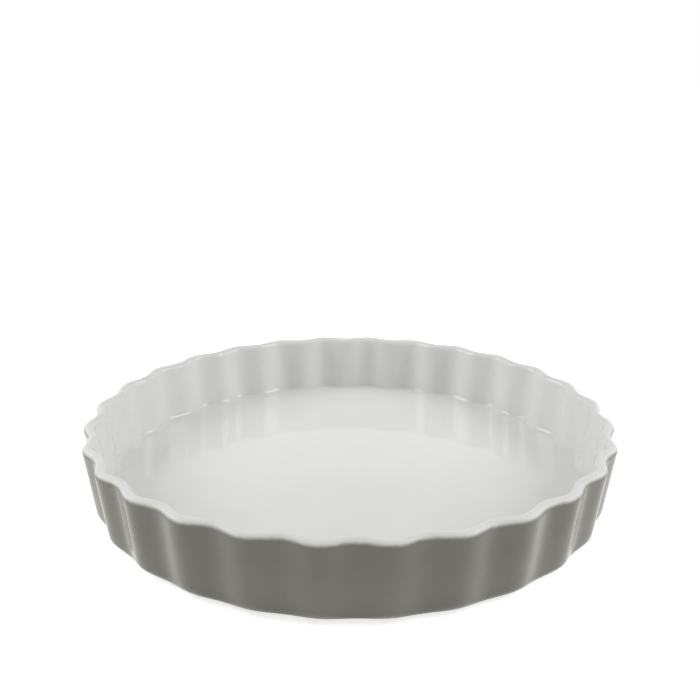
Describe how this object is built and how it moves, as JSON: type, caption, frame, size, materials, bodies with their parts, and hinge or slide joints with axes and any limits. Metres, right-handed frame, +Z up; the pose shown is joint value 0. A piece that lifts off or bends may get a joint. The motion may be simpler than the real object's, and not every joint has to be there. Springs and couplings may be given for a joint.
{
  "type": "creme brulee dish",
  "caption": "Round shallow porcelain dish with a flared fluted wall, scalloped rounded rim, flat floor and bare foot ring, glazed white inside and warm grey outside, for baking and serving.",
  "frame": {"origin": "on the table, under the middle of the dish", "axes": "+Z up along the dish's axis; -Y and +X each pass through a crest of the flutes"},
  "size_m": [0.1418, 0.1418, 0.0216],
  "materials": {
    "bare_porcelain": "fired bisque, matte",
    "white_glaze": "glossy white glaze",
    "grey_glaze": "glossy warm grey glaze"
  },
  "bodies": {
    "root": {"porcelain_body": "bare_porcelain", "inside_glaze": "white_glaze", "outside_glaze": "grey_glaze", "base_glaze": "grey_glaze"}
  },
  "joints": []
}
